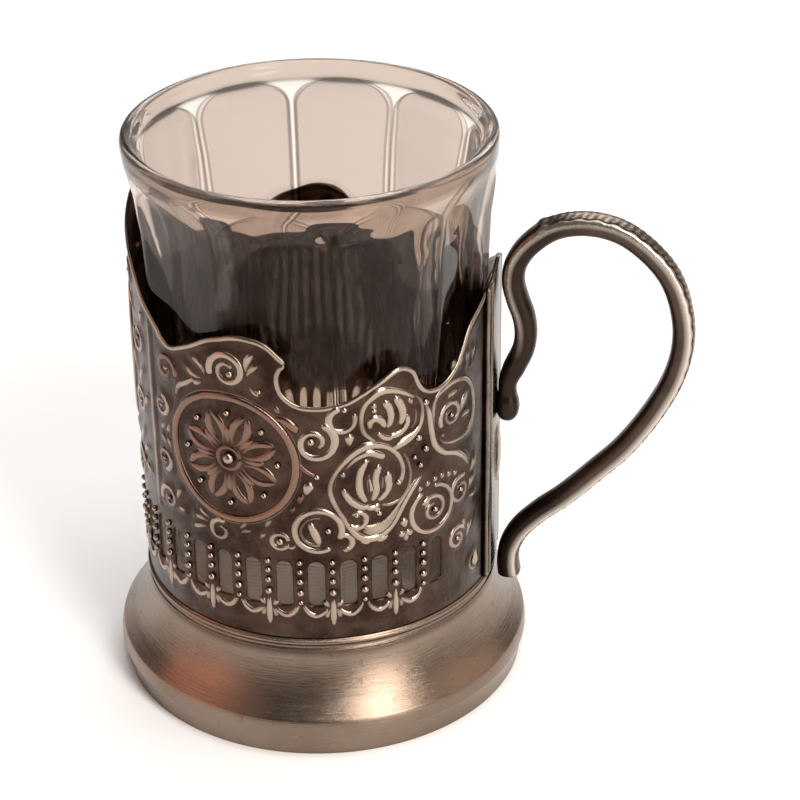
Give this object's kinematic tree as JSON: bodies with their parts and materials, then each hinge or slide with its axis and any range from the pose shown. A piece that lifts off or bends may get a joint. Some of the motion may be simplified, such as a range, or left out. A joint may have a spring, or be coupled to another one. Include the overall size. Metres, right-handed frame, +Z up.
{
  "type": "tea glass holder",
  "caption": "Metal holder with a bell foot, a scalloped and pierced sleeve in relief and a loop handle, carrying a panelled tea glass that lifts out.",
  "frame": {"origin": "centre of the ring that the foot stands on, at table height", "axes": "+Z up along the axis of the glass, +X towards the handle, +Y to its side"},
  "size_m": [0.1107, 0.0804, 0.1102],
  "materials": {
    "foot_metal": "warm satin nickel with fine turning lines and dark patina in the grooves",
    "disc_metal": "satin nickel, spun",
    "sleeve_metal": "stamped relief, satin on the high places and brown-black patina in the low ones",
    "strip_metal": "satin nickel with a dark patina",
    "handle_metal": "cast, rubbed bright on the edges, dark patina in the relief",
    "clear_glass": "clear pressed glass with flat panels and a fire-polished rim"
  },
  "bodies": {
    "holder": {"foot": "foot_metal", "floor_disc": "disc_metal", "sleeve": "sleeve_metal", "seam_strip": "strip_metal", "handle": "handle_metal"},
    "glass": {"tea_glass": "clear_glass"}
  },
  "joints": [
    {"name": "glass_lift", "type": "slide", "parent": "holder", "child": "glass", "axis": [0, 0, 1], "range_m": [0, 0.1]}
  ]
}
